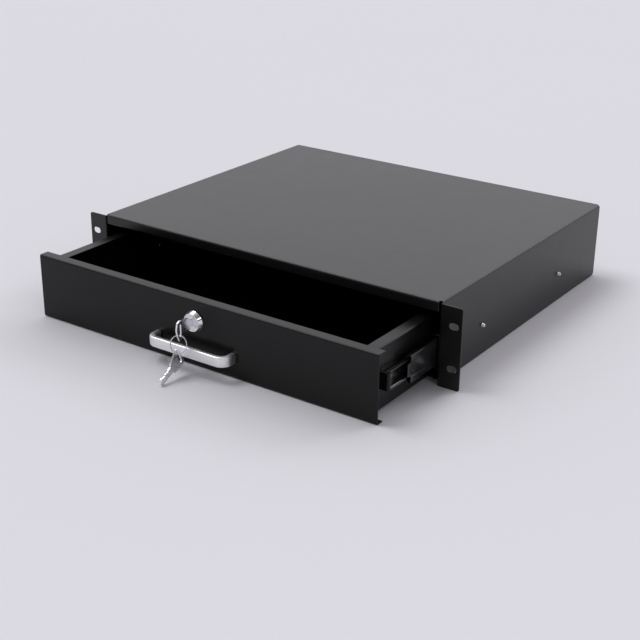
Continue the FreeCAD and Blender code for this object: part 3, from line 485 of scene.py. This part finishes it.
def screw_measures(points):
    """A screw's place, with Z from the head's top inwards, then its head's radius and
    height, its shank's radius and its whole length."""
    low, high = points.min(0), points.max(0)
    middle = (low + high) / 2
    spans = high - low
    along = int(np.argmin([abs(spans[(axis + 1) % 3] - spans[(axis + 2) % 3]) for axis in range(3)]))
    across = [axis for axis in range(3) if axis != along]
    radii = np.linalg.norm(points[:, across] - middle[across], axis=1)
    head = points[radii > radii.max() - LEVEL][:, along]
    inwards = 1.0 if head.mean() < middle[along] else -1.0
    top, tip = (low[along], high[along]) if inwards > 0 else (high[along], low[along])
    seat = head.max() if inwards > 0 else head.min()
    shank = radii[np.abs(points[:, along] - tip) < LEVEL].max()
    direction = np.zeros(3)
    direction[along] = inwards
    start = middle.copy()
    start[along] = top
    turn = Vector(direction).to_track_quat("Z", "Y").to_matrix().to_4x4()
    place = Matrix.Translation(Vector(start)) @ turn
    return place, float(radii.max()), abs(seat - top), float(shank), abs(tip - top)


def cross_cutter(bm, place, reach, width, depth):
    """A cross, as two crossed blocks that narrow towards the recess's floor."""
    for turn in (0, 90):
        local = place @ Matrix.Rotation(math.radians(turn), 4, "Z")
        mouth = [bm.verts.new(local @ Vector((x * reach, y * width, -RECESS_PROUD))) for x, y in SQUARE]
        bottom = [bm.verts.new(local @ Vector((x * reach * RECESS_FLOOR_REACH,
                                               y * width * RECESS_FLOOR_WIDTH, depth))) for x, y in SQUARE]
        bm.faces.new(mouth[::-1])
        bm.faces.new(bottom)
        for i in range(4):
            j = (i + 1) % 4
            bm.faces.new((mouth[i], mouth[j], bottom[j], bottom[i]))


def turned_piece(bm, node):
    """A piece whose steeper edges stay sharp."""
    piece(f"{node}_round", bm, node).data.set_sharp_from_angle(angle=CREASE)


def pan_screws(node):
    """Domed heads with a cross recess."""
    bm = bmesh.new()
    cutter = bmesh.new()
    for points in islands(node):
        place, head, rise, shank, length = screw_measures(points)
        dome = [(head * math.sin(math.radians(a)) ** DOME_FULLNESS,
                 rise * DOME_HEIGHT * (1 - math.cos(math.radians(a)))) for a in DOME_ANGLES]
        body = [(head, rise), (shank, rise),
                (shank, length - TIP_CHAMFER), (shank - TIP_CHAMFER, length), (0, length)]
        lathe(bm, dome + body, place)
        cross_cutter(cutter, place, head * RECESS_REACH, head * RECESS_WIDTH, rise * RECESS_DEPTH)
    turned_piece(cut_away(bm, cutter), node)


def tapped_screws(node):
    """Flush heads, and turned ends with a thread's ridges and a dimple."""
    bm = bmesh.new()
    for points in islands(node):
        place, head, _, shank, length = screw_measures(points)
        profile = [(0, DIMPLE_DEPTH), (head * DIMPLE_FLOOR, DIMPLE_DEPTH), (head * DIMPLE_MOUTH, 0),
                   (head, 0), (shank, SINK)]
        for ridge in range(int((length - SINK - PLAIN_END) / THREAD_PITCH)):
            at = SINK + THREAD_PITCH * (ridge + 0.5)
            profile += [(shank - THREAD_DEPTH, at - THREAD_PITCH * THREAD_ROOT),
                        (shank, at + THREAD_PITCH * THREAD_CREST)]
        profile += [(shank - END_ROUND, length - END_ROUND), (shank - END_POINT, length),
                    (shank * END_DIMPLE, length), (0, length - END_DIMPLE_DEPTH)]
        lathe(bm, profile, place)
    turned_piece(bm, node)


bow_handle()
split_ring()
for row in ("outer", "inner"):
    for side in ("left", "right"):
        round_balls(f"{row}_balls_{side}")
for node in ("rear_screws", "handle_screws", "cam_screw",
             "drawer_slide_screws_left", "drawer_slide_screws_right"):
    pan_screws(node)
for side in ("left", "right"):
    tapped_screws(f"outer_slide_screws_{side}")


# ------------------------------------------------------------------ studio
PAPER = (0.70, 0.69, 0.727)
GROUND_REACH = 14           # from the middle to each side

ROOM_COLOUR = (0.97, 0.96, 1.0)
BRIGHT_WAY = (-0.45, 0.89, 0)               # behind the part and to its left
# strengths of the room's light, each as: from, to, strength at from, strength at to
TOWARDS_BRIGHT = (-0.3, 0.75, 0.18, 1.28)   # by direction along BRIGHT_WAY
UPWARDS = (0.15, 0.51, 0.31, 1.21)          # a share of that, by height
LOW_WALL = (0.24, 0.32, 0.71, 0.0)          # by height: a pale wall low down all round

# each lamp's strength, its spread in degrees, and the way to it
LAMPS = {
    "overhead": (1.05, 30, (-0.46, -0.14, 0.87)),
    "right_box": (0.2, 20, (0.78, -0.30, 0.54)),
    "back_box": (0.34, 18, (0.38, 0.76, 0.52)),
}


def paper():
    """The floor's matt paper."""
    sheet = Surface("floor_paper")
    sheet.colour(sheet.noise(scale=0.8, detail=2.0), PAPER, shade(PAPER, 0.985))
    sheet.roughness(sheet.noise(scale=30.0, detail=3.0), 0.8, 0.9)
    sheet.set("Specular IOR Level", 0.0)
    return sheet.material


def room():
    """Light from all round, as from a pale room with a bright wall behind."""
    world = bpy.data.worlds.new("studio")
    bpy.context.scene.world = world
    world.use_nodes = True
    sky = Nodes(world.node_tree, "Generated")
    split = sky.new("SeparateXYZ")
    sky.link(sky.coords, split.inputs[0])
    height = split.outputs["Z"]
    brightwards = sky.new("VectorMath")
    brightwards.operation = "DOT_PRODUCT"
    brightwards.inputs[1].default_value = BRIGHT_WAY
    sky.link(sky.coords, brightwards.inputs[0])
    walls = sky.combined("MULTIPLY", sky.band(brightwards.outputs["Value"], *TOWARDS_BRIGHT),
                         sky.band(height, *UPWARDS))
    background = world.node_tree.nodes["Background"]
    background.inputs["Color"].default_value = (*ROOM_COLOUR, 1)
    sky.link(sky.combined("MAXIMUM", walls, sky.band(height, *LOW_WALL)), background.inputs["Strength"])


def soft_sun(name, strength, spread, towards):
    """A sun as wide as a lamp's soft box."""
    lamp = bpy.data.lights.new(name, "SUN")
    lamp.energy = strength
    lamp.angle = math.radians(spread)
    linked(name, lamp).rotation_euler = Vector(towards).to_track_quat("Z", "Y").to_euler()


floor_mesh = bpy.data.meshes.new("floor")
bm = bmesh.new()
bm.faces.new([bm.verts.new((x * GROUND_REACH, y * GROUND_REACH, cad_low.z)) for x, y in SQUARE])
bm.to_mesh(floor_mesh)
bm.free()
floor = linked("floor", floor_mesh)
floor.data.materials.append(paper())
room()
for name, (strength, spread, towards) in LAMPS.items():
    soft_sun(name, strength, spread, towards)

# ------------------------------------------------------------------ camera
# lens, place and angles were fitted together
CAMERA_SENSOR = 36          # mm
CAMERA_LENS = 70.2129375    # mm
CAMERA_PLACE = (0.7457, -0.9594, 0.49415)
CAMERA_YAW, CAMERA_PITCH, CAMERA_ROLL = (math.radians(a) for a in (34.829, 23.336, 0.616))

camera_data = bpy.data.cameras.new("camera")
camera = linked("camera", camera_data)
bpy.context.scene.camera = camera
camera_data.sensor_width = CAMERA_SENSOR
camera_data.lens = CAMERA_LENS
camera_data.clip_start = 0.01
camera_data.clip_end = 100
camera.location = CAMERA_PLACE
look = (Matrix.Rotation(CAMERA_YAW, 4, "Z") @ Matrix.Rotation(math.pi / 2 - CAMERA_PITCH, 4, "X")
        @ Matrix.Rotation(CAMERA_ROLL, 4, "Z"))
camera.rotation_euler = look.to_euler()

bpy.context.scene.view_settings.view_transform = "Standard"
